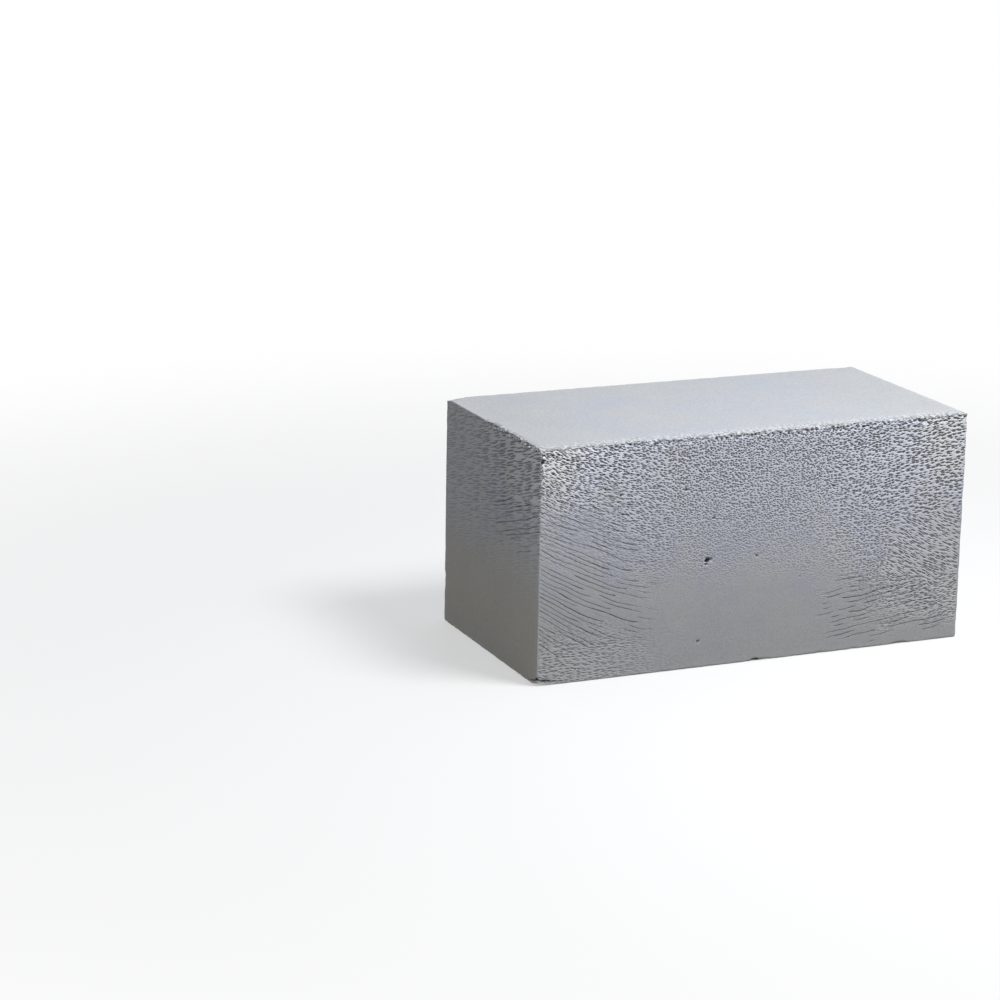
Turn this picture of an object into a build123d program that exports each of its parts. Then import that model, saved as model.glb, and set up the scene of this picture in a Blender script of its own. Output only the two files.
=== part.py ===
from build123d import *
import os

# Solid concrete block, cast in one piece, in millimetres. Its length runs along X, the front
# face looks to -Y, +Z is up, and the origin is the middle of the face that it lies on.

# Overall size
length = 400.0
width = 200.0
height = 200.0

# Edges: as the mould leaves them, and the top front edge, which handling has worn rounder
mould_edge_radius = 1.5
worn_edge_radius = 4.0

# Lower front corner at the left end, broken away: reach along the length, across and up
low_break_along = 10.0
low_break_across = 12.0
low_break_up = 3.5

# Spall in the upright edge just above that corner
spall_up = 5.0
spall_length = 9.0
spall_depth = 2.2

# Upper back corner at the left end, rubbed down: reach along the length, across and down
high_break_along = 22.0
high_break_across = 12.0
high_break_down = 2.5

# Blow-hole in the front face, where an air bubble met the mould
blow_hole_from_left = 154.7
blow_hole_up = 93.4
blow_hole_length = 7.6
blow_hole_depth = 2.2
blow_hole_tilt = 14.0

# Smaller bubble that runs into the blow-hole from below
side_bubble_left = 2.0
side_bubble_down = 2.8
side_bubble_length = 5.2
side_bubble_depth = 1.1

# Small round pit low on the front face
pit_from_left = 148.2
pit_up = 23.7
pit_length = 3.4
pit_depth = 1.2

# Nick in the bottom front edge
bottom_nick_from_left = 202.3
bottom_nick_length = 9.0
bottom_nick_depth = 2.4

# Nick in the top back edge, close to the right end
back_nick_from_right = 14.0
back_nick_length = 22.0
back_nick_depth = 2.6

# Row of nicks in the top edge of the left end, which shorten towards the back
end_nick_count = 3
end_nick_from_front = 22.0
end_nick_pitch = 37.0
end_nick_length = 34.0
end_nick_shortening = 4.0
end_nick_depth = 2.8

# How far the middle line of a hollow lies outside the face or edge that it opens in
hollow_stand_off = 0.5

# Faces that the features are set out from
left = -length / 2
right = length / 2
front = -width / 2
back = width / 2


def break_plane(corner, along, across, up):
    """Plane of a broken corner, through a point on each of the three edges that meet there.

    The three reaches run from the corner towards the middle of the block, with their signs,
    and the plane's normal points out of the block.
    """
    outward = Vector(-1 / along, -1 / across, -1 / up)
    return Plane(origin=corner + Vector(along, 0, 0), z_dir=outward)


# Broken corners
low_corner = Vector(left, front, 0)
high_corner = Vector(left, back, height)
breaks = [
    break_plane(low_corner, low_break_along, low_break_across, low_break_up),
    break_plane(high_corner, high_break_along, -high_break_across, -high_break_down),
]

# Directions that a hollow runs in, and those that it opens to
along_block = Vector(1, 0, 0)
across_block = Vector(0, 1, 0)
up_block = Vector(0, 0, 1)
along_blow_hole = along_block.rotate(Axis.Y, -blow_hole_tilt)
out_of_front = Vector(0, -1, 0)
out_of_bottom_front = Vector(0, -1, -1).normalized()
out_of_top_back = Vector(0, 1, 1).normalized()
out_of_top_left = Vector(-1, 0, 1).normalized()
out_of_left_front = Vector(-1, -1, 0).normalized()

# Hollows: the place of each on its face or edge, where it opens to, the way it runs, its length and depth
blow_hole = Vector(left + blow_hole_from_left, front, blow_hole_up)
side_bubble = blow_hole - Vector(side_bubble_left, 0, side_bubble_down)
pit = Vector(left + pit_from_left, front, pit_up)
spall = Vector(left, front, spall_up)
bottom_nick = Vector(left + bottom_nick_from_left, front, 0)
back_nick = Vector(right - back_nick_from_right, back, height)
hollows = [
    (blow_hole, out_of_front, along_blow_hole, blow_hole_length, blow_hole_depth),
    (side_bubble, out_of_front, along_blow_hole, side_bubble_length, side_bubble_depth),
    (pit, out_of_front, along_block, pit_length, pit_depth),
    (spall, out_of_left_front, up_block, spall_length, spall_depth),
    (bottom_nick, out_of_bottom_front, along_block, bottom_nick_length, bottom_nick_depth),
    (back_nick, out_of_top_back, along_block, back_nick_length, back_nick_depth),
]
for step in range(end_nick_count):
    end_nick = Vector(left, front + end_nick_from_front + step * end_nick_pitch, height)
    nick_length = end_nick_length - step * end_nick_shortening
    hollows.append((end_nick, out_of_top_left, across_block, nick_length, end_nick_depth))

with BuildPart() as block:
    # Body: the cross-section, with its worn top front edge, drawn the length of the block
    with BuildSketch(Plane.YZ.offset(left)):
        Rectangle(width, height, align=(Align.CENTER, Align.MIN))
        top_front = vertices().group_by(Axis.Y)[-1].sort_by(Axis.X)[0]
        fillet(top_front, worn_edge_radius)
    extrude(amount=length)

    # Corners that have come away
    for plane in breaks:
        split(bisect_by=plane, keep=Keep.BOTTOM)

    # Edges eased by the mould, all but the two lines where the worn edge runs into its faces
    worn_edge = faces().filter_by(GeomType.CYLINDER)[0]
    fillet(edges() - worn_edge.edges().filter_by(Axis.X), mould_edge_radius)

    # Hollows: half an ellipse turned about its long axis, which lies just outside the block
    for place, opening, direction, hollow_length, depth in hollows:
        middle = place + opening * hollow_stand_off
        half_length = hollow_length / 2
        with BuildSketch(Plane(origin=middle, x_dir=direction, z_dir=direction.cross(opening))):
            with BuildLine():
                EllipticalCenterArc((0, 0), half_length, depth + hollow_stand_off, start_angle=0, arc_size=180)
                Line((-half_length, 0), (half_length, 0))
            make_face()
        revolve(axis=Axis(middle, direction), mode=Mode.SUBTRACT)

block.part.label = "block"
os.makedirs("parts", exist_ok=True)
export_step(block.part, "parts/block.step")
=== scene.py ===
"""Dresses the solid concrete block: worn edges, blow-holes, pores, bare concrete and a plain studio.

The node fields below are reckoned in millimetres, because that is how a block is measured. Places
and sizes go to metres only where they leave a node tree.
"""
import logging
import math
from dataclasses import dataclass, field, fields
from enum import Enum
from typing import Union

import bmesh
import bpy
from mathutils import Matrix, Vector


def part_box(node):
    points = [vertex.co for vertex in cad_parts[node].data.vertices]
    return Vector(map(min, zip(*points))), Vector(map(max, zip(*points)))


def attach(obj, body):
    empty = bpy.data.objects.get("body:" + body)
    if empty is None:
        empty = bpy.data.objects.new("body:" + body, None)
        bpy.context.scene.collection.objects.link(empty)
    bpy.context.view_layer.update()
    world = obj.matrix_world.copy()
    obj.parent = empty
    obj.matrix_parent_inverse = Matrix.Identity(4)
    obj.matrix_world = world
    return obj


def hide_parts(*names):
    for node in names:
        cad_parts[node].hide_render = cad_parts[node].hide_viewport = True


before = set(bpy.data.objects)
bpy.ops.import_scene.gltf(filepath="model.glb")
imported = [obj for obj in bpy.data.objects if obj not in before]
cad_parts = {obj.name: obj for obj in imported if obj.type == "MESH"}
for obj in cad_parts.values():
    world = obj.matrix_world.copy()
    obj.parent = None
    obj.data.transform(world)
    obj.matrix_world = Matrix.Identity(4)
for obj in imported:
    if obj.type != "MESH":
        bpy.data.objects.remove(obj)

LOG = logging.getLogger("concrete_block")
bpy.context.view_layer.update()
MM = 0.001

Span = tuple[float, float]
Spans = tuple[Span, ...]
Triple = tuple[float, float, float]
Number = Union["Field", float]


class Sum(Enum):
    """What a Math or Vector Math node makes of its inputs."""

    ADD = "ADD"
    SUBTRACT = "SUBTRACT"
    MULTIPLY = "MULTIPLY"
    DIVIDE = "DIVIDE"
    POWER = "POWER"
    ABSOLUTE = "ABSOLUTE"
    SINE = "SINE"
    LARGER = "MAXIMUM"
    SMALLER = "MINIMUM"
    SCALE = "SCALE"
    UNIT = "NORMALIZE"
    DOT = "DOT_PRODUCT"


class Held:
    """A value at every point of the surface, held as one socket of a node tree."""

    def __init__(self, tree: bpy.types.NodeTree, socket: bpy.types.NodeSocket) -> None:
        """Keep the tree and the socket that carries the value."""
        self.tree = tree
        self.socket = socket


class Field(Held):
    """A number at every point of the surface, reckoned with like a number."""

    def _math(self, operation: Sum, *values: Number) -> "Field":
        """Run the values through one Math node of this tree.

        Args:
            operation: what the node works out.
            values: its inputs, in order.

        Returns:
            The node's result.
        """
        node = self.tree.nodes.new("ShaderNodeMath")
        node.operation = operation.value
        for socket, value in zip(node.inputs, values):
            feed(self.tree, socket, value)
        return Field(self.tree, node.outputs[0])

    def __add__(self, other: Number) -> "Field":
        """Sum of two numbers."""
        return self._math(Sum.ADD, self, other)

    def __sub__(self, other: Number) -> "Field":
        """Difference of two numbers."""
        return self._math(Sum.SUBTRACT, self, other)

    def __rsub__(self, other: Number) -> "Field":
        """Difference, with the plain number first."""
        return self._math(Sum.SUBTRACT, other, self)

    def __mul__(self, other: Number) -> "Field":
        """Product of two numbers."""
        return self._math(Sum.MULTIPLY, self, other)

    def __truediv__(self, other: Number) -> "Field":
        """Quotient of two numbers."""
        return self._math(Sum.DIVIDE, self, other)

    def __neg__(self) -> "Field":
        """The number with its sign turned."""
        return self._math(Sum.MULTIPLY, self, -1.0)

    def __abs__(self) -> "Field":
        """The number without its sign."""
        return self._math(Sum.ABSOLUTE, self)

    def __pow__(self, exponent: Number) -> "Field":
        """The number raised to a power."""
        return self._math(Sum.POWER, self, exponent)

    def sine(self) -> "Field":
        """Sine of an angle in radians."""
        return self._math(Sum.SINE, self)

    def at_least(self, other: Number) -> "Field":
        """The larger of two numbers."""
        return self._math(Sum.LARGER, self, other)

    def at_most(self, other: Number) -> "Field":
        """The smaller of two numbers."""
        return self._math(Sum.SMALLER, self, other)

    def ramp(self, low: float, high: float) -> "Field":
        """Smooth step from 0 at low to 1 at high, which may be the smaller of the two.

        Args:
            low: the value that gives 0.
            high: the value that gives 1.

        Returns:
            A number from 0 to 1.
        """
        node = self.tree.nodes.new("ShaderNodeMapRange")
        node.interpolation_type = "SMOOTHSTEP"
        rising = low < high
        feed(self.tree, node.inputs["Value"], self)
        node.inputs["From Min"].default_value = low if rising else high
        node.inputs["From Max"].default_value = high if rising else low
        node.inputs["To Min"].default_value = 0.0 if rising else 1.0
        node.inputs["To Max"].default_value = 1.0 if rising else 0.0
        return Field(self.tree, node.outputs["Result"])

    def inside(self, face: float, reach: Span) -> "Field":
        """Smooth step by the distance inside a face of the block.

        Args:
            face: where the face lies on this number's axis.
            reach: how far inside it the step is 0, and how far inside it is 1.

        Returns:
            A number from 0 to 1.
        """
        inward = -1.0 if face > 0.0 else 1.0
        return self.ramp(face + inward * reach[0], face + inward * reach[1])


class Place(Held):
    """A point or direction at every point of the surface, in millimetres."""

    @classmethod
    def of(cls, tree: bpy.types.NodeTree, *parts: Number) -> "Place":
        """Put three numbers together as one place.

        Args:
            tree: the node tree to do it in.
            parts: its x, y and z.

        Returns:
            The place.
        """
        node = tree.nodes.new("ShaderNodeCombineXYZ")
        for socket, value in zip(node.inputs, parts):
            feed(tree, socket, value)
        return cls(tree, node.outputs[0])

    def _vector(self, operation: Sum, other: Union[Held, Triple, float, None] = None) -> bpy.types.Node:
        """Run this vector through one Vector Math node.

        Args:
            operation: what the node works out.
            other: its second vector, or the number to scale by.

        Returns:
            The node.
        """
        node = self.tree.nodes.new("ShaderNodeVectorMath")
        node.operation = operation.value
        feed(self.tree, node.inputs[0], self)
        if other is not None:
            feed(self.tree, node.inputs["Scale" if operation is Sum.SCALE else 1], other)
        return node

    def __add__(self, other: Union["Place", Triple]) -> "Place":
        """Sum of two vectors."""
        return Place(self.tree, self._vector(Sum.ADD, other).outputs["Vector"])

    def __sub__(self, other: Union["Place", Triple]) -> "Place":
        """Difference of two vectors."""
        return Place(self.tree, self._vector(Sum.SUBTRACT, other).outputs["Vector"])

    def __mul__(self, factor: Number) -> "Place":
        """The vector made longer or shorter."""
        return Place(self.tree, self._vector(Sum.SCALE, factor).outputs["Vector"])

    def unit(self) -> "Place":
        """The vector at a length of one."""
        return Place(self.tree, self._vector(Sum.UNIT).outputs["Vector"])

    def dot(self, other: Union["Place", Triple]) -> Field:
        """How far the vector reaches along another."""
        return Field(self.tree, self._vector(Sum.DOT, other).outputs["Value"])

    def parts(self) -> tuple[Field, Field, Field]:
        """The vector's three parts as numbers.

        Returns:
            Its x, y and z.
        """
        node = self.tree.nodes.new("ShaderNodeSeparateXYZ")
        feed(self.tree, node.inputs[0], self)
        return tuple(Field(self.tree, socket) for socket in node.outputs[:3])

    def noise(self, size: float, detail: float = 0.0) -> Field:
        """Smooth random number at every place, from 0 to 1 and mostly near a half.

        Args:
            size: how far apart its swells lie.
            detail: how many finer layers it has.

        Returns:
            The number.
        """
        node = self.tree.nodes.new("ShaderNodeTexNoise")
        feed(self.tree, node.inputs["Vector"], self)
        node.inputs["Scale"].default_value = 1.0 / size
        node.inputs["Detail"].default_value = detail
        return Field(self.tree, node.outputs[0])

    def cells(self, size: float, flat: bool = False, disorder: float = 1.0) -> tuple[Field, Field]:
        """Scattered points: how far the nearest one lies, and a random number of its own.

        Args:
            size: the width of the cells that hold a point each.
            flat: scatter them by the first two parts of the place only.
            disorder: how far they stray from the middles of their cells, up to 1.

        Returns:
            The distance, as a share of the cell, and the point's random number.
        """
        node = self.tree.nodes.new("ShaderNodeTexVoronoi")
        node.voronoi_dimensions = "2D" if flat else "3D"
        feed(self.tree, node.inputs["Vector"], self)
        node.inputs["Scale"].default_value = 1.0 / size
        node.inputs["Randomness"].default_value = disorder
        chance = Place(self.tree, node.outputs["Color"]).parts()[0]
        return Field(self.tree, node.outputs["Distance"]), chance


def feed(tree: bpy.types.NodeTree, socket: bpy.types.NodeSocket, value: Union[Held, Triple, float]) -> None:
    """Link a held value to a socket, or write a plain one on it.

    Args:
        tree: the node tree that holds the socket.
        socket: the socket to fill.
        value: the held or plain value.
    """
    if isinstance(value, Held):
        tree.links.new(value.socket, socket)
    else:
        socket.default_value = value


@dataclass(frozen=True)
class Zone:
    """A part of the faces, in millimetres from the middle of the bed, that fades in at its bounds.

    Each span runs from where the zone is nothing to where it is full. A zone at both ends goes by the
    distance from the middle of the block instead of by x.
    """

    share: float = 1.0
    x: Spans = ()
    y: Spans = ()
    z: Spans = ()
    both_ends: bool = False

    def at(self, point: Place) -> Field:
        """How strong the zone is at a point.

        Args:
            point: the point of the box.

        Returns:
            A number from 0 to the zone's share.
        """
        x, y, z = point.parts()
        along = abs(x) if self.both_ends else x
        axes = ((along, self.x), (y, self.y), (z, self.z))
        steps = [part.ramp(*span) for part, spans in axes for span in spans]
        return math.prod(steps[1:], start=steps[0]) * self.share


@dataclass(frozen=True)
class Hollow:
    """One scoop out of the block, in millimetres: a bubble open to a face, or a nick in an edge."""

    RIM = (1.0, 0.98)

    place: Triple
    opening: Triple
    run: Triple
    length: float
    breadth: float
    depth: float
    steepness: float = 0.5
    # How much painted shade the hollow's depth puts into the colour.
    shade: float = 1.0

    def sink(self, point: Place) -> Field:
        """How far a point of the surface has to sink to lie on the floor of the hollow.

        Args:
            point: the point of the surface.

        Returns:
            The distance, which is nothing outside the hollow.
        """
        opening = Vector(self.opening).normalized()
        run = Vector(self.run).normalized()
        aside = run.cross(opening)
        offset = point - self.place
        along = offset.dot(tuple(run)) / (self.length / 2)
        across = offset.dot(tuple(aside)) / (self.breadth / 2)
        bowl = (1.0 - along * along - across * across).at_least(0.0) ** self.steepness * self.depth
        inside = (along * along + across * across).ramp(*self.RIM)
        return (offset.dot(tuple(opening)) + bowl).at_least(0.0) * inside

    def inward(self, tree: bpy.types.NodeTree) -> Place:
        """Direction in which the hollow goes down."""
        return Place.of(tree, *(-share for share in Vector(self.opening).normalized()))


@dataclass(frozen=True)
class CornerBreak:
    """A corner rubbed or broken off along a plane, in millimetres."""

    corner: Triple
    reaches: Triple

    def carve(self, point: Place, roughness: Field) -> Place:
        """Vector that takes a point outside the plane back onto it.

        Args:
            point: the point of the surface.
            roughness: how far the broken face strays from its plane.

        Returns:
            The move, which is nothing behind the plane.
        """
        normal = Vector([-1.0 / reach for reach in self.reaches]).normalized()
        start = Vector(self.corner) + Vector((self.reaches[0], 0.0, 0.0))
        outside = ((point - tuple(start)).dot(tuple(normal)) + roughness).at_least(0.0)
        return Place.of(point.tree, *(-share for share in normal)) * outside


@dataclass(frozen=True)
class Spall:
    """A flake lost from the foot of the front left edge: it leaves a crease with a lip below it."""

    corner: Triple
    rise: float = 6.3
    reach: Span = (30.0, 4.0)
    depth: float = 1.2
    end_haste: float = 1.6
    fall: float = 0.24
    curl: float = 0.0035
    waver: float = 1.2
    waver_size: float = 4.0
    step: Span = (-0.2, 0.6)
    crack_width: Span = (0.9, 0.3)
    lip_start: Span = (1.0, 2.2)

    def below_crease(self, point: Place) -> tuple[Field, Field]:
        """How far below the crease a point lies, and how much of the flake is left there.

        Args:
            point: the point of the box.

        Returns:
            The drop from the crease, and a number from 0 to 1.
        """
        x, y, z = (point - self.corner).parts()
        run = (x + y * self.end_haste).at_least(0.0)
        waver = (point.noise(self.waver_size, 1.0) - 0.5) * self.waver
        crease = self.rise - run * self.fall + run * run * self.curl + waver
        return crease - z, run.ramp(*self.reach)

    def inset(self, point: Place) -> Field:
        """How far a point of the surface lies behind its face.

        Args:
            point: the point of the box.

        Returns:
            The depth, which is nothing outside the flake.
        """
        drop, share = self.below_crease(point)
        lip = (1.0 - drop / self.rise).at_least(0.0).at_most(1.0)
        return lip * drop.ramp(*self.step) * share * self.depth

    def crack(self, point: Place) -> Field:
        """1 in the crack along the crease, where a painted shadow goes, 0 on the faces."""
        drop, share = self.below_crease(point)
        return abs(drop).ramp(*self.crack_width) * share

    def lip(self, point: Place) -> Field:
        """1 on the rubbed lip below the crease, which takes a painted highlight, 0 on the faces."""
        drop, share = self.below_crease(point)
        return drop.ramp(*self.lip_start) * share


@dataclass(frozen=True)
class Skin:
    """What each point of the surface knows of itself, worked out once and stored on the mesh.

    cast is its place in the mould. lay is its place along the drag of the mould: along the faces,
    up from row to row, and up from row to row where the pits cross the drag. pores says how open
    the pits and the lines are, and whether the pits cross the drag. wear_and_shade says how near an
    edge it is, where the colour is paler from wear and a painted highlight, how deep in a hollow,
    weighted by the painted shade each hollow takes, and how far its edge crumbles.
    """

    cast: Place
    lay: Place
    pores: Place
    wear_and_shade: Place

    def store(self, geometry: bpy.types.NodeSocket) -> bpy.types.NodeSocket:
        """Write the marks on the points of a mesh, in a relief tree.

        Args:
            geometry: the socket that carries the mesh.

        Returns:
            The socket that carries it with the marks.
        """
        tree = self.cast.tree
        for mark in fields(self):
            node = tree.nodes.new("GeometryNodeStoreNamedAttribute")
            node.data_type = "FLOAT_VECTOR"
            node.domain = "POINT"
            node.inputs["Name"].default_value = mark.name
            tree.links.new(geometry, node.inputs["Geometry"])
            feed(tree, node.inputs["Value"], getattr(self, mark.name))
            geometry = node.outputs["Geometry"]
        return geometry

    @classmethod
    def read(cls, tree: bpy.types.NodeTree) -> "Skin":
        """Read the marks back from the mesh, in a finish tree.

        Args:
            tree: the material's node tree.

        Returns:
            The marks.
        """
        marks = {}
        for mark in fields(cls):
            node = tree.nodes.new("ShaderNodeAttribute")
            node.attribute_name = mark.name
            marks[mark.name] = Place(tree, node.outputs["Vector"])
        return cls(**marks)


@dataclass(frozen=True)
class Drag:
    """How the mould dragged the concrete: its rows fall away from the left end and climb to the right."""

    half: Triple
    fan_length: float = 120.0
    fan_fall: float = 104.0
    fan_fade: Span = (400.0, 0.0)
    climb_start: float = 30.0
    climb: float = 0.13
    low_climb: Span = (110.0, 48.0)
    high_climb: Span = (60.0, 200.0)
    sway: float = 9.0
    sway_size: float = 60.0
    crowded: Span = (-80.0, 70.0)
    crowding: float = 0.45
    left_stretch_start: float = -110.0
    left_stretch: float = 0.18
    right_stretch_start: float = 130.0
    right_stretch: float = 0.28
    end_pace: float = 0.25
    end_tilt: float = 0.34
    end_rows: float = 0.25
    end_rows_foot: float = 20.0
    end_rows_reach: Span = (10.0, 1.0)
    cross_fall: float = 0.45

    def lay(self, point: Place) -> Place:
        """Place of a point once the drag lines are straightened.

        Args:
            point: the point of the box.

        Returns:
            How far it lies along the faces, up, and up where the rows cross the drag.
        """
        x, y, z = point.parts()
        run = ((x + self.half[0]) / self.fan_length).at_least(0.0).at_most(1.0)
        fall = (run - run * run * 0.5 - 0.5) * self.fan_fall * z.ramp(*self.fan_fade)
        climbing = z.ramp(*self.low_climb) + z.ramp(*self.high_climb)
        climb = (x - self.climb_start).at_least(0.0) * self.climb * climbing
        sway = point.noise(self.sway_size, 1.0) * self.sway
        tilt = (y + self.half[1]) * self.end_tilt

        crowded = x.at_least(self.crowded[0]).at_most(self.crowded[1]) * self.crowding
        stretched = (self.left_stretch_start - x).at_least(0.0) * self.left_stretch
        stretched = stretched - (x - self.right_stretch_start).at_least(0.0) * self.right_stretch
        along = crowded + x + stretched + y * self.end_pace

        closer = x.inside(-self.half[0], self.end_rows_reach) * self.end_rows
        crossing = z + (z - self.end_rows_foot) * closer + x.at_least(0.0) * self.cross_fall + tilt
        return Place.of(point.tree, along, z + fall - climb + sway + tilt, crossing + sway)


@dataclass(frozen=True)
class Pores:
    """The fine relief of the faces: short pits, lines dragged by the mould, bubbles and grain."""

    half: Triple
    height: float
    drag: Drag

    pit_depth: float = 1.0
    line_depth: float = 0.50
    crumb_depth: float = 0.9
    bubble_depth: float = 0.8
    grain_depth: float = 0.07
    grain_size: float = 1.4

    pit_size: Span = (3.5, 1.7)
    cross_size: Span = (4.4, 1.8)
    pit_cut: Span = (0.56, 0.08)
    floor_cut: Span = (0.40, 0.16)
    spread: float = 0.26
    disorder: float = 0.92
    crossed_cut: Span = (0.40, 0.60)

    line_size: Span = (20.0, 5.0)
    line_gap: float = 4.5
    line_wander: float = 0.9
    line_hold: float = 0.28
    line_break: Span = (0.27, 0.37)
    line_start: Span = (0.0, 0.4)
    line_cut: Span = (0.83, 0.99)

    crumb_size: float = 3.0
    crumb_cut: Span = (0.47, 0.64)
    crumb_reach: Span = (8.0, 2.5)
    end_crumb_reach: Span = (7.0, 2.0)
    end_crumb_run: Span = (25.0, 0.0)

    sugar_size: Span = (2.4, 5.0)
    sugar_reach: Span = (24.0, 3.0)
    sugar_drop: Span = (2.0, 0.5)
    sugar_pale: Span = (0.48, 0.62)
    sugar_dark: Span = (0.42, 0.28)

    bubble_gap: float = 15.0
    bubble_cut: Span = (0.075, 0.03)
    bubble_chance: Span = (0.60, 0.80)

    end_reach: Span = (3.0, 1.0)
    upright_reach: Span = (0.3, 1.8)
    rim_reach: Span = (5.0, 0.5)
    stray: float = 60.0
    stray_size: float = 22.0
    stray_up: float = 0.6

    upper_pits: Zone = Zone(0.90, z=((50, 190),))
    fewer_by_the_lines: Zone = Zone(0.68, x=((-95, -165),), z=((178, 132),))
    right_pits: Zone = Zone(0.32, x=((30, 150),))
    right_belt: Zone = Zone(0.35, x=((30, 150),), z=((130, 70), (8, 45)))
    fewer_low_right: Zone = Zone(0.8, x=((155, 110),), z=((75, 48),))
    none_at_right_foot: Zone = Zone(z=((4, 26),))
    left_foot_pits: Zone = Zone(0.40, x=((-45, -185),), z=((65, 15),))
    left_top_pits: Zone = Zone(0.54, x=((-80, -190),), z=((135, 182),))
    end_pits: Zone = Zone(0.28, z=((60, 140),))
    end_front_pits: Zone = Zone(0.52, y=((70, -80),), z=((115, 180),))

    left_lines: Zone = Zone(x=((-55, -195),), z=((192, 155), (15, 50)))
    right_lines: Zone = Zone(0.7, x=((50, 95), (195, 165)), z=((75, 50), (5, 15)))
    end_lines: Zone = Zone(0.52, y=((70, -60),), z=((98, 118), (160, 135)))

    right_crossed: Zone = Zone(x=((115, 145),), z=((122, 102), (48, 65)))
    left_crossed: Zone = Zone(x=((-60, -90),), z=((45, 30),))

    def skin(self, point: Place, hollow: Field) -> Skin:
        """Work out the marks of every point, in a relief tree.

        Args:
            point: the point of the box.
            hollow: how deep in a hollow it lies, weighted by the painted shade each hollow takes.

        Returns:
            The marks.
        """
        tree = point.tree
        x, y, z = point.parts()
        on_end = abs(x).inside(self.half[0], self.end_reach)
        near_top = z.inside(self.height, self.crumb_reach)
        near_front = y.inside(-self.half[1], self.crumb_reach)
        near_left = x.inside(-self.half[0], self.end_crumb_reach) * y.ramp(*self.end_crumb_run)
        crumbling = near_top * near_front.at_least(near_left)

        stray = (point.noise(self.stray_size, 1.0) - 0.5) * self.stray
        about = point + Place.of(tree, stray, stray, stray * self.stray_up)
        upright = self.upright(point)
        crossed = self.right_crossed.at(about) + self.left_crossed.at(about) + on_end
        pores = Place.of(
            tree,
            self.pit_strength(about, on_end) * upright,
            self.line_strength(about, on_end) * upright,
            crossed.ramp(*self.crossed_cut),
        )
        # Nearness to an edge, for paler worn edges with a painted highlight, the hollow depth for painted
        # shade, and the crumbling.
        wear_and_shade = Place.of(tree, self.rim(point), hollow, crumbling)
        return Skin(point, self.drag.lay(point), pores, wear_and_shade)

    def upright(self, point: Place) -> Field:
        """1 on the upright faces, 0 on the top and the bed."""
        z = point.parts()[2]
        return z.inside(0.0, self.upright_reach) * z.inside(self.height, self.upright_reach)

    def pit_strength(self, point: Place, on_end: Field) -> Field:
        """How open the pits are: most along the top and towards the ends of the long faces.

        Args:
            point: the point of the box.
            on_end: 1 on the two ends, 0 on the long faces.

        Returns:
            A number from 0, closed and smooth, to about 1.
        """
        upper = self.upper_pits.at(point) * (1.0 - self.fewer_by_the_lines.at(point))
        right = self.right_pits.at(point) + self.right_belt.at(point)
        right = right * (1.0 - self.fewer_low_right.at(point)) * self.none_at_right_foot.at(point)
        left = self.left_foot_pits.at(point) + self.left_top_pits.at(point)
        long_face = upper + right + left
        end_face = self.end_pits.at(point) + self.end_front_pits.at(point)
        return long_face + (end_face - long_face) * on_end

    def line_strength(self, point: Place, on_end: Field) -> Field:
        """Where the dragged lines show: on the left third and the lower right.

        Args:
            point: the point of the box.
            on_end: 1 on the two ends, 0 on the long faces.

        Returns:
            A number from 0 to 1.
        """
        long_face = self.left_lines.at(point) + self.right_lines.at(point)
        return long_face + (self.end_lines.at(point) - long_face) * on_end

    def rim(self, point: Place) -> Field:
        """How close a point lies to an edge of the block.

        Args:
            point: the point of the box.

        Returns:
            1 on the edges, fading to 0 a few millimetres in.
        """
        x, y, z = point.parts()
        to_end = self.half[0] - abs(x)
        to_face = self.half[1] - abs(y)
        to_bed = z.at_most(self.height - z)
        nearest_two = to_end.at_most(to_face).at_least(to_end.at_least(to_face).at_most(to_bed))
        return nearest_two.ramp(*self.rim_reach)

    def dashes(self, along: Field, level: Field, size: Span) -> Field:
        """Short dashes scattered in loose rows.

        Args:
            along: how far a point lies along the rows.
            level: how far it lies across them.
            size: how far apart the dashes lie, along their rows and from row to row.

        Returns:
            How far outside a dash a point lies, as a share of the space between dashes.
        """
        place = Place.of(along.tree, along / size[0], level / size[1], 0.0)
        distance, chance = place.cells(1.0, flat=True, disorder=self.disorder)
        return distance - (chance - 0.5) * self.spread

    def weave(self, skin: Skin) -> Field:
        """Pattern of the pits: rows that follow the drag, and here and there rows that cross it.

        Args:
            skin: the marks of the surface.

        Returns:
            How far outside a pit a point lies, as a share of the space between pits.
        """
        along, level, crossing = skin.lay.parts()
        dragged = self.dashes(along, level, self.pit_size)
        crossed = self.dashes(along, crossing, self.cross_size)
        return dragged + (crossed - dragged) * skin.pores.parts()[2]

    def pits(self, skin: Skin, cut: Span) -> Field:
        """Short worm-like pits, from 0 on the face to 1 in an open pit.

        Args:
            skin: the marks of the surface.
            cut: the values of the pattern between which a pit goes from its rim to its floor.

        Returns:
            How far down a point lies.
        """
        return self.weave(skin).ramp(*cut) * skin.pores.parts()[0]

    def lines(self, skin: Skin) -> Field:
        """Thin dragged lines, side by side and broken here and there.

        Args:
            skin: the marks of the surface.

        Returns:
            A number from 0 on the face to 1 in a line.
        """
        along, level, _ = skin.lay.parts()
        length, breadth = self.line_size
        swell = Place.of(skin.lay.tree, along / length, 0.0, level / breadth).noise(1.0)
        turn = (level + swell * self.line_gap * self.line_wander) * (2.0 * math.pi / self.line_gap)
        strength = skin.pores.parts()[1]
        held = (swell + strength * self.line_hold - self.line_hold).ramp(*self.line_break)
        return turn.sine().ramp(*self.line_cut) * (held * strength.ramp(*self.line_start))

    def crumbs(self, skin: Skin) -> Field:
        """Grains lost along the front top edge, from 0 to 1."""
        return skin.cast.noise(self.crumb_size, 1.0).ramp(*self.crumb_cut) * skin.wear_and_shade.parts()[2]

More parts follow.
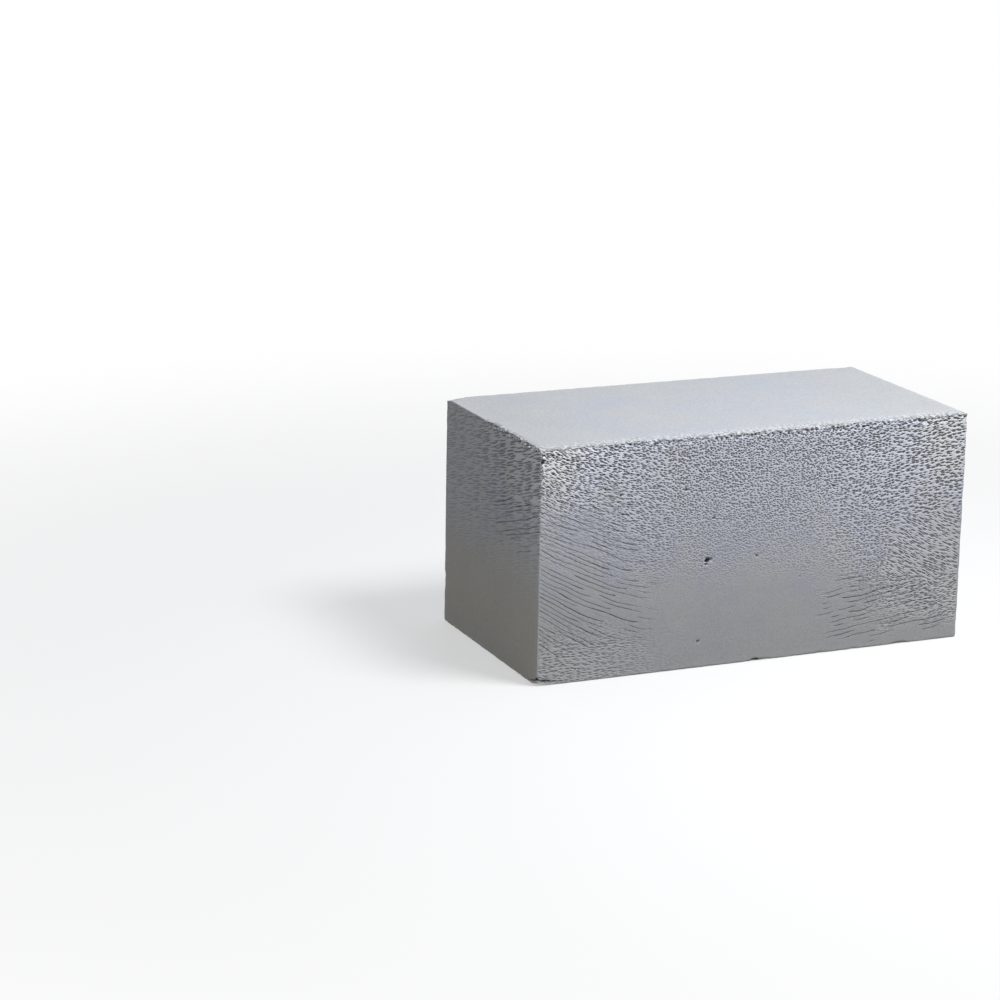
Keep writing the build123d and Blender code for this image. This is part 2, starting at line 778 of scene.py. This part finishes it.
    def sugar(self, skin: Skin) -> Field:
        """Pale grains and dark gaps on the top along its front edge.

        Args:
            skin: the marks of the surface.

        Returns:
            A number from about -1 in a gap to 1 on a grain.
        """
        x, y, z = skin.cast.parts()
        edge = y.inside(-self.half[1], self.sugar_reach) * z.inside(self.height, self.sugar_drop)
        along, across = self.sugar_size
        grains = Place.of(skin.cast.tree, x / along, y / across, 0.0).noise(1.0, 1.0)
        return (grains.ramp(*self.sugar_pale) - grains.ramp(*self.sugar_dark)) * edge

    def bubbles(self, skin: Skin) -> Field:
        """Scattered small bubbles, from 0 on the face to 1 in a bubble."""
        distance, chance = skin.cast.cells(self.bubble_gap)
        return distance.ramp(*self.bubble_cut) * chance.ramp(*self.bubble_chance)


@dataclass(frozen=True)
class ConcreteFinish:
    """Bare cement-grey concrete: matt, a little mottled, with painted shade in its pores and hollows,
    painted light in places, and paler on rubbed edges, partly from wear and partly as a painted highlight.
    """

    name: str = "bare_concrete"
    cool: Triple = (0.545, 0.577, 0.660)
    warm: Triple = (0.562, 0.581, 0.600)
    earthy: Triple = (0.618, 0.611, 0.566)
    roughness: float = 0.92
    specular: float = 0.25

    # Painted shade in the pits, lines, crumbs and bubbles: how much darker each makes the colour.
    pit_painted_shade: float = 1.10
    # Painted light on the pitted face: how much paler it is made where its pits are open.
    pitted_face_painted_light: float = 0.54
    line_painted_shade: float = 0.60
    crumb_painted_shade: float = 0.45
    bubble_painted_shade: float = 0.5
    # Painted shadow in the crack under the crease.
    crack_painted_shadow: float = 0.75
    # Painted highlight on the lip below the crease.
    lip_painted_highlight: float = 0.28
    # The most painted shade the pores can take.
    deepest_painted_shade: float = 0.9
    # Painted shade in the hollows, growing with their depth across hollow_cut.
    hollow_painted_shade: float = 0.76
    hollow_cut: Span = (0.1, 1.2)
    # Edges paler, partly from wear and partly as a painted highlight.
    rim_wear_and_highlight: float = 0.08
    sugar_light: float = 0.40

    mottle_size: float = 48.0
    mottle_light: float = 0.10
    speck_size: float = 1.5
    speck_light: float = 0.30
    flat_speck_light: float = 0.15
    # Painted light on the left of the long faces, painted shade towards their foot, and their right a
    # little darker.
    painted_light_left: Zone = Zone(0.20, x=((-60, -190),), y=((-20, -98),), z=((20, 190),))
    dark_right: Zone = Zone(0.09, x=((60, 180),), z=((185, 110), (20, 80)))
    painted_shade_foot: Zone = Zone(0.05, z=((110, 5),))

    warm_base: float = 0.12
    warm_mottle: float = 0.7
    warm_flats: float = 0.26
    warm_foot: Zone = Zone(0.36, z=((150, 0),))
    warm_ends: Zone = Zone(0.10, x=((120, 200),), both_ends=True)
    warm_shoulders: Zone = Zone(0.20, x=((110, 195),), z=((120, 190),), both_ends=True)
    warm_cut: Span = (0.40, 0.88)
    earthy_end: Zone = Zone(x=((-198.4, -199.2),), y=((-99.5, -96),), z=((140, 30),))

    def material(self, pores: Pores, spall: Spall) -> bpy.types.Material:
        """Make the material, with its colour and bump drawn from the same pores as the mesh.

        Args:
            pores: the fine relief of the faces.
            spall: the flake lost from the front left edge.

        Returns:
            The material.
        """
        material = bpy.data.materials.new(self.name)
        material.use_nodes = True
        tree = material.node_tree
        shader = tree.nodes["Principled BSDF"]
        shader.inputs["Roughness"].default_value = self.roughness
        shader.inputs["Specular IOR Level"].default_value = self.specular
        skin = Skin.read(tree)
        pits = pores.pits(skin, pores.pit_cut)
        lines = pores.lines(skin)
        crumbs = pores.crumbs(skin)
        bubbles = pores.bubbles(skin)

        # Painted shade in the pits, lines, crumbs and bubbles.
        shade = pores.pits(skin, pores.floor_cut) * self.pit_painted_shade + lines * self.line_painted_shade
        shade = shade + crumbs * self.crumb_painted_shade + bubbles * self.bubble_painted_shade
        # Painted shadow in the crack under the crease, painted highlight on the lip below it.
        shade = shade + spall.crack(skin.cast) * self.crack_painted_shadow - spall.lip(skin.cast) * self.lip_painted_highlight
        # Painted light on the pitted face, the more so the more open its pits.
        shade = shade - skin.pores.parts()[0] * self.pitted_face_painted_light
        feed(tree, shader.inputs["Base Color"], self.colour(skin, pores, shade))

        height = pits * pores.pit_depth + lines * pores.line_depth + crumbs * pores.crumb_depth
        height = height + bubbles * pores.bubble_depth
        grain = skin.cast.noise(pores.grain_size, 1.0) * pores.grain_depth
        bump = tree.nodes.new("ShaderNodeBump")
        bump.inputs["Strength"].default_value = 1.0
        bump.inputs["Distance"].default_value = MM
        feed(tree, bump.inputs["Height"], -(height + grain))
        tree.links.new(bump.outputs["Normal"], shader.inputs["Normal"])
        return material

    def colour(self, skin: Skin, pores: Pores, shade: Field) -> Place:
        """Colour of the concrete: mottled between a cool and a warm grey, with painted shade in its pores
        and hollows and painted light in places.

        Args:
            skin: the marks of the surface.
            pores: the fine relief of the faces.
            shade: the painted shade in the pits, lines, crumbs, bubbles and crack, less the painted
                highlights on the pitted face and the lip.

        Returns:
            The colour.
        """
        cast = skin.cast
        rim, hollow, _ = skin.wear_and_shade.parts()
        upright = pores.upright(cast)
        flat = 1.0 - upright
        mottle = cast.noise(self.mottle_size, 2.0)
        speck = (cast.noise(self.speck_size, 1.0) - 0.5) * (flat * self.flat_speck_light + self.speck_light)
        # Painted light on the left of the long faces, painted shade towards their foot; the right is a
        # little darker.
        darker = self.dark_right.at(cast) + self.painted_shade_foot.at(cast)
        # Edges paler, partly from wear and partly as a painted highlight.
        bright = (mottle - 0.5) * self.mottle_light + speck + rim * self.rim_wear_and_highlight
        bright = bright + (self.painted_light_left.at(cast) - darker) * upright + 1.0
        bright = bright + pores.sugar(skin) * self.sugar_light
        # Painted shade in the pits, lines, crumbs, bubbles and crack, less the painted highlights on the
        # pitted face and the lip.
        bright = bright * (1.0 - shade.at_most(self.deepest_painted_shade))
        # Painted shade in the hollows, by how deep they are.
        bright = bright * (1.0 - hollow.ramp(*self.hollow_cut) * self.hollow_painted_shade)

        hue = mottle * self.warm_mottle + self.warm_foot.at(cast) + flat * self.warm_flats
        hue = hue + self.warm_ends.at(cast) + self.warm_shoulders.at(cast) + self.warm_base
        hue = hue.ramp(*self.warm_cut)
        earth = self.earthy_end.at(cast)
        parts = []
        for cool, warm, earthy in zip(self.cool, self.warm, self.earthy):
            grey = hue * (warm - cool) + cool
            parts.append(grey + (earthy - grey) * earth)
        return Place.of(cast.tree, *parts) * bright


@dataclass
class ConcreteBlock:
    """The block: a box from its mould, with worn edges, broken corners, nicks, bubbles and pores."""

    BAKE_MAP = "OFBake"

    node: str = "block"
    slot: str = "concrete"
    cell: float = 1.0
    coarse_cells: int = 10
    most_triangles: int = 190_000
    flat_weight: int = 60
    bake_angle: float = 66.0
    bake_margin: float = 0.005

    mould_edge: float = 1.1
    worn_edge: float = 2.4
    crumbled_edge: float = 0.8
    chipped_edge: float = 1.6
    crumble_size: float = 9.0
    crumble_cut: Span = (0.40, 0.68)
    chip_size: float = 26.0
    chip_cut: Span = (0.58, 0.75)
    worn_reach: Span = (30.0, 8.0)
    worn_left_run: Span = (25.0, 5.0)

    break_size: float = 5.0
    break_roughness: float = 2.0
    ragged_size: float = 3.0
    raggedness: float = 2.2
    ragged_shift: float = 40.0
    relief_share: float = 0.30
    uneven_size: float = 16.0
    unevenness: float = 0.25
    blow_hole_tilt: float = 14.0
    finish: ConcreteFinish = field(default_factory=ConcreteFinish)

    def __post_init__(self) -> None:
        """Read the block's size from the frame, in millimetres, and set out its hollows."""
        low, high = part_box(self.node)
        self.length, self.width, self.height = ((b - a) / MM for a, b in zip(low, high))
        self.half = (self.length / 2, self.width / 2, self.height / 2)
        self.pores = Pores(self.half, self.height, Drag(self.half))
        self.hollows = self.set_out_hollows()
        self.breaks = self.set_out_breaks()
        self.spall = Spall((-self.half[0], -self.half[1], 0.0))

    def set_out_hollows(self) -> list[Hollow]:
        """Bubbles and nicks, each measured from the left end, the front and the bed.

        Returns:
            The hollows.
        """
        left, front = -self.half[0], -self.half[1]
        right, back, top = self.half[0], self.half[1], self.height
        to_front = (0.0, -1.0, 0.0)
        level, upward = (1.0, 0.0, 0.0), (0.0, 0.0, 1.0)
        tilt = math.radians(self.blow_hole_tilt)
        tilted = (math.cos(tilt), 0.0, math.sin(tilt))
        hollows = [
            Hollow((left + 153.9, front, 93.1), to_front, tilted, 4.0, 3.3, 4.0, 0.35),
            Hollow((left + 157.0, front, 94.0), to_front, tilted, 4.0, 2.6, 2.2, 0.35, 0.5),
            Hollow((left + 153.2, front, 90.0), to_front, level, 4.0, 1.8, 1.8, 0.4),
            Hollow((left + 148.2, front, 23.7), to_front, level, 2.9, 1.7, 1.6, 0.4),
            Hollow((left + 2.3, front, 189.5), to_front, upward, 4.6, 2.6, 2.4, 0.4),
            Hollow((left + 202.3, front, 0.0), (0.0, -1.0, -1.0), level, 9.0, 6.0, 2.4),
            Hollow((left, front, 6.4), (-1.0, -1.0, 0.0), (1.0, -1.0, 0.0), 5.2, 2.6, 2.4, 0.4),
            Hollow((right - 14.0, back, top), (0.0, 1.0, 1.0), level, 22.0, 6.0, 2.6, shade=0.1),
        ]
        for x, z in ((-127.0, 156.0), (-68.0, 156.0), (-41.0, 129.0), (72.0, 147.0), (1.0, 93.0)):
            hollows.append(Hollow((x, front, z), to_front, level, 3.0, 2.0, 1.5, 0.4))
        for step in range(3):
            place = (left, front + 22.0 + step * 37.0, top)
            run, length = (0.0, 1.0, 0.0), 34.0 - 4.0 * step
            hollows.append(Hollow(place, (-1.0, 0.0, 0.4), run, length, 8.0, 2.2, shade=0.1))
        return hollows

    def set_out_breaks(self) -> list[CornerBreak]:
        """The two corners that have come away.

        Returns:
            The breaks.
        """
        left, front = -self.half[0], -self.half[1]
        return [
            CornerBreak((left, front, 0.0), (10.0, 12.0, 3.5)),
            CornerBreak((left, self.half[1], self.height), (22.0, -12.0, -2.5)),
        ]

    def build(self) -> bpy.types.Object:
        """Cast the block: a box cut fine, weathered and thinned.

        Returns:
            The block's object.
        """
        bpy.ops.object.select_all(action="DESELECT")
        bpy.ops.mesh.primitive_cube_add(size=1.0, location=(0.0, 0.0, 0.0))
        piece = bpy.context.object
        piece.name = "concrete_block"
        bpy.ops.object.mode_set(mode="EDIT")
        bpy.ops.mesh.select_all(action="SELECT")
        bpy.ops.transform.resize(value=(self.length * MM, self.width * MM, self.height * MM))
        bpy.ops.transform.translate(value=(0.0, 0.0, self.height * MM / 2))
        self.cut_fine(piece)
        bpy.ops.object.mode_set(mode="OBJECT")
        self.weather(piece)
        self.thin_out(piece)
        return piece

    def cut_fine(self, piece: bpy.types.Object) -> None:
        """Subdivide the box in edit mode, first into cubes and then into small square cells.

        Args:
            piece: the box, in edit mode with all of it selected.
        """
        bpy.ops.mesh.select_mode(type="EDGE")
        mesh = bmesh.from_edit_mesh(piece.data)
        for edge in mesh.edges:
            run = edge.verts[0].co - edge.verts[1].co
            edge.select_set(abs(run.x) > abs(run.y) + abs(run.z))
        bmesh.update_edit_mesh(piece.data)
        bpy.ops.mesh.subdivide(number_cuts=round(self.length / self.width) - 1)
        piece.data.uv_layers[0].name = self.BAKE_MAP
        bpy.ops.mesh.select_all(action="SELECT")
        bpy.ops.uv.smart_project(angle_limit=math.radians(self.bake_angle), island_margin=self.bake_margin)
        cells = round(self.width / self.cell)
        for pieces in (self.coarse_cells, cells // self.coarse_cells):
            bpy.ops.mesh.select_all(action="SELECT")
            bpy.ops.mesh.subdivide(number_cuts=pieces - 1)

    def weather(self, piece: bpy.types.Object) -> None:
        """Round, break and pit the box with one Geometry Nodes modifier, and apply it.

        Args:
            piece: the finely cut box.
        """
        modifier = piece.modifiers.new("weathering", "NODES")
        modifier.node_group = self.weathering()
        bpy.ops.object.modifier_apply(modifier=modifier.name)

    def thin_out(self, piece: bpy.types.Object) -> None:
        """Merge the cells that lie flat until the mesh is light enough, and shade it smooth.

        Args:
            piece: the weathered block.
        """
        triangles = sum(len(face.vertices) - 2 for face in piece.data.polygons)
        modifier = piece.modifiers.new("thinning", "DECIMATE")
        modifier.ratio = min(1.0, self.most_triangles / triangles)
        bpy.ops.object.modifier_apply(modifier=modifier.name)
        bpy.ops.object.shade_smooth()
        modifier = piece.modifiers.new("flat_faces_first", "WEIGHTED_NORMAL")
        modifier.weight = self.flat_weight
        bpy.ops.object.modifier_apply(modifier=modifier.name)

    def edge_radius(self, point: Place) -> Field:
        """How far the edges are rounded near a point: little at the mould's edges, more where rubbed.

        Args:
            point: the point of the box.

        Returns:
            The radius.
        """
        x, y, z = point.parts()
        top = z.inside(self.height, self.worn_reach)
        front = y.inside(-self.half[1], self.worn_reach)
        left_front = x.inside(-self.half[0], self.worn_reach) * y.ramp(*self.worn_left_run)
        crumble = point.noise(self.crumble_size, 2.0).ramp(*self.crumble_cut)
        chips = point.noise(self.chip_size, 1.0).ramp(*self.chip_cut)
        rubbed = (front + left_front).at_most(1.0) * top
        worn = crumble * (rubbed * self.worn_edge + self.crumbled_edge)
        return worn + chips * self.chipped_edge + self.mould_edge

    def weathering(self) -> bpy.types.NodeTree:
        """Draw the node tree that rounds the box and sinks its breaks, hollows and pores.

        Returns:
            The node tree.
        """
        tree = bpy.data.node_groups.new("weathering", "GeometryNodeTree")
        tree.interface.new_socket("Geometry", in_out="INPUT", socket_type="NodeSocketGeometry")
        tree.interface.new_socket("Geometry", in_out="OUTPUT", socket_type="NodeSocketGeometry")
        entry = tree.nodes.new("NodeGroupInput")
        leave = tree.nodes.new("NodeGroupOutput")
        position = tree.nodes.new("GeometryNodeInputPosition")
        point = Place(tree, position.outputs[0]) * (1.0 / MM)

        radius = self.edge_radius(point)
        lows = (-self.half[0], -self.half[1], 0.0)
        highs = (self.half[0], self.half[1], self.height)
        inner = [
            part.at_least(radius + low).at_most(high - radius)
            for part, low, high in zip(point.parts(), lows, highs)
        ]
        core = Place.of(tree, *inner)
        outward = (point - core).unit()
        rounded = core + outward * radius

        stray = (point.noise(self.break_size, 2.0) - 0.5) * self.break_roughness
        broken = rounded
        for corner in self.breaks:
            broken = broken + corner.carve(rounded, stray)

        ragged = broken + self.jitter(point) * self.raggedness
        sinks = [hollow.sink(ragged) for hollow in self.hollows]
        sunk = broken - outward * self.spall.inset(point)
        for hollow, sink in zip(self.hollows, sinks):
            sunk = sunk + hollow.inward(tree) * sink
        # Depth in the hollows, weighted by each one's share, for the painted shade in the colour.
        shades = [sink * hollow.shade for hollow, sink in zip(self.hollows, sinks)]
        skin = self.pores.skin(point, sum(shades[1:], start=shades[0]))
        finished = (sunk - outward * self.fine_relief(skin)) * MM

        move = tree.nodes.new("GeometryNodeSetPosition")
        tree.links.new(skin.store(entry.outputs[0]), move.inputs["Geometry"])
        feed(tree, move.inputs["Position"], finished)
        tree.links.new(move.outputs["Geometry"], leave.inputs[0])
        return tree

    def jitter(self, point: Place) -> Place:
        """Random move along each axis that makes the rims of the hollows ragged.

        Args:
            point: the point of the box.

        Returns:
            The move, of up to about a half each way.
        """
        shifted = [point + (self.ragged_shift * axis, 0.0, 0.0) for axis in range(3)]
        return Place.of(point.tree, *(place.noise(self.ragged_size, 1.0) - 0.5 for place in shifted))

    def fine_relief(self, skin: Skin) -> Field:
        """Depth of the relief that the mesh is fine enough to hold: uneven faces and part of the pores.

        Args:
            skin: the marks of the surface.

        Returns:
            The depth.
        """
        pits = self.pores.pits(skin, self.pores.pit_cut) * self.pores.pit_depth
        lines = self.pores.lines(skin) * self.pores.line_depth
        fine = (pits + lines) * self.relief_share + self.pores.crumbs(skin) * self.pores.crumb_depth
        return fine + skin.cast.noise(self.uneven_size, 2.0) * self.unevenness

    def dress(self, piece: bpy.types.Object) -> None:
        """Give the block its concrete and set it in the frame in place of its plain solid.

        Args:
            piece: the block's object.
        """
        piece.data.materials.clear()
        piece.data.materials.append(self.finish.material(self.pores, self.spall))
        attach(piece, "root")
        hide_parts(self.node)


@dataclass
class Studio:
    """Plain pale floor, soft light from above and in front, and the camera at the photograph's view."""

    floor_size: float = 60.0
    floor_seen: float = 0.60
    floor_glow: float = 0.45
    floor_fade: Span = (0.3, 1.3)
    floor_bounce: Triple = (0.20, 0.175, 0.145)
    ambient: float = 0.37
    ambient_tint: Triple = (0.97, 0.99, 1.04)
    lamp_aim: Triple = (0.0, 0.0, 0.1)
    key_place: Triple = (0.33, -0.58, 1.25)
    key_power: float = 12.2
    key_size: float = 0.5
    fill_place: Triple = (0.9, 1.5, 0.7)
    fill_power: float = 3.0
    fill_size: float = 1.2
    sensor_width: float = 36.0
    focal_pixels: float = 3033.0
    frame_pixels: float = 1000.0
    azimuth: float = -23.503
    elevation: float = 14.776
    roll: float = -0.986
    stand: Triple = (-1.1737, -2.2584, 0.7828)

    def build(self) -> None:
        """Set up everything round the block."""
        bpy.context.scene.view_settings.view_transform = "Standard"
        self.lay_floor()
        self.light_world()
        self.hang_lamp("key", self.key_place, self.key_power, self.key_size)
        self.hang_lamp("fill", self.fill_place, self.fill_power, self.fill_size)
        self.place_camera()

    def background_ray(self, tree: bpy.types.NodeTree) -> Field:
        """1 for rays that show the background: from the camera, in a gloss or through glass.

        Args:
            tree: the material's or the world's node tree.

        Returns:
            0 or 1.
        """
        path = tree.nodes.new("ShaderNodeLightPath")
        seen = Field(tree, path.outputs["Is Camera Ray"])
        for name in ("Is Glossy Ray", "Is Transmission Ray"):
            seen = seen.at_least(Field(tree, path.outputs[name]))
        return seen

    def lay_floor(self) -> None:
        """Pale floor that shows white with a soft shadow and throws little light back up."""
        bpy.ops.object.select_all(action="DESELECT")
        bpy.ops.mesh.primitive_plane_add(size=self.floor_size, location=(0.0, 0.0, 0.0))
        floor = bpy.context.object
        floor.name = "floor"
        material = bpy.data.materials.new("pale_floor")
        material.use_nodes = True
        tree = material.node_tree
        shader = tree.nodes["Principled BSDF"]
        shader.inputs["Roughness"].default_value = 1.0
        shader.inputs["Specular IOR Level"].default_value = 0.0
        seen = self.background_ray(tree)
        place = Place(tree, tree.nodes.new("ShaderNodeTexCoord").outputs["Object"])
        away = (place.dot(place) ** 0.5).ramp(*self.floor_fade)
        shown = (1.0 - away) * self.floor_seen
        colour = Place.of(tree, *((shown - tint) * seen + tint for tint in self.floor_bounce))
        feed(tree, shader.inputs["Base Color"], colour)
        shader.inputs["Emission Color"].default_value = (1.0, 1.0, 1.0, 1.0)
        glow = away * (1.0 - self.floor_glow) + self.floor_glow
        feed(tree, shader.inputs["Emission Strength"], seen * glow)
        floor.data.materials.append(material)

    def light_world(self) -> None:
        """White behind everything, and a low even light from all round."""
        world = bpy.data.worlds.new("studio")
        world.use_nodes = True
        tree = world.node_tree
        background = tree.nodes["Background"]
        seen = self.background_ray(tree)
        around = [tint * self.ambient for tint in self.ambient_tint]
        colour = Place.of(tree, *(seen * (1.0 - part) + part for part in around))
        feed(tree, background.inputs["Color"], colour)
        bpy.context.scene.world = world

    def hang_lamp(self, name: str, place: Triple, power: float, size: float) -> None:
        """Square soft light aimed at the middle of the block.

        Args:
            name: what the lamp is called.
            place: where it hangs, in metres.
            power: its power in watts.
            size: the side of its square, in metres.
        """
        light = bpy.data.lights.new(name, "AREA")
        light.energy = power
        light.size = size
        lamp = bpy.data.objects.new(name, light)
        lamp.location = place
        lamp.rotation_euler = (Vector(place) - Vector(self.lamp_aim)).to_track_quat("Z", "Y").to_euler()
        bpy.context.scene.collection.objects.link(lamp)

    def place_camera(self) -> None:
        """Camera where the photograph was taken from, with the same lens and a slight roll."""
        camera = bpy.data.cameras.new("camera")
        camera.sensor_width = self.sensor_width
        camera.lens = self.sensor_width * self.focal_pixels / self.frame_pixels
        azimuth, elevation, roll = (math.radians(a) for a in (self.azimuth, self.elevation, self.roll))
        level = math.cos(elevation)
        back = Vector((math.sin(azimuth) * level, -math.cos(azimuth) * level, math.sin(elevation)))
        right = Vector((0.0, 0.0, 1.0)).cross(back).normalized()
        up = back.cross(right)
        axes = Matrix((right, up, back)).transposed().to_4x4()
        holder = bpy.data.objects.new("camera", camera)
        holder.matrix_world = Matrix.Translation(self.stand) @ axes @ Matrix.Rotation(-roll, 4, "Z")
        bpy.context.scene.collection.objects.link(holder)
        bpy.context.scene.camera = holder


def main() -> None:
    """Cast and dress the block, then set up the studio round it."""
    logging.basicConfig(level=logging.INFO, format="%(name)s: %(message)s")
    block = ConcreteBlock()
    piece = block.build()
    block.dress(piece)
    LOG.info("%s: %d faces, replaces %s", piece.name, len(piece.data.polygons), block.node)
    Studio().build()
    LOG.info("studio: floor, two lamps and camera")


if __name__ == "__main__":
    main()
